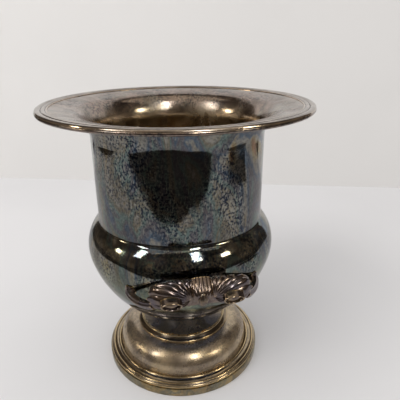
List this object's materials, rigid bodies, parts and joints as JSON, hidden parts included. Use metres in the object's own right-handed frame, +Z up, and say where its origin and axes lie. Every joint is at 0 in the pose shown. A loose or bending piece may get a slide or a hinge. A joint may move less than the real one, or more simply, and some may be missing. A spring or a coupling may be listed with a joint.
{
  "type": "cup trophy",
  "caption": "Urn-shaped metal cup trophy with a wide flared rim, bulging bowl, leaf-cast side handles and a domed round foot.",
  "frame": {"origin": "centre of the flat ring on which the foot rests, on the axis of the cup", "axes": "+Z up along the axis of the cup, Y through the two handles (front handle on -Y), X across"},
  "size_m": [0.23, 0.23, 0.254],
  "materials": {
    "silver_plate": "polished silver plate with mottled coloured tarnish",
    "worn_plate": "satin plate worn to warm brass",
    "cast_plate": "polished cast metal, dark tarnish in the hollows",
    "fixing_steel": "dull zinc-plated steel",
    "seal": "red fibre washer"
  },
  "bodies": {
    "root": {"bowl_shell": "silver_plate", "rim_border": "silver_plate", "rim_wire": "fixing_steel", "handle_front": "cast_plate", "handle_back": "cast_plate", "handle_screws": "fixing_steel", "handle_washers": "fixing_steel", "neck_collar": "worn_plate", "foot_shell": "worn_plate", "foot_bead": "worn_plate", "foot_border": "worn_plate", "foot_base_ring": "worn_plate", "centre_bolt": "fixing_steel", "seal_washer": "seal", "clamp_washer": "fixing_steel", "spring_washer": "fixing_steel", "hex_nut": "fixing_steel"}
  },
  "joints": []
}
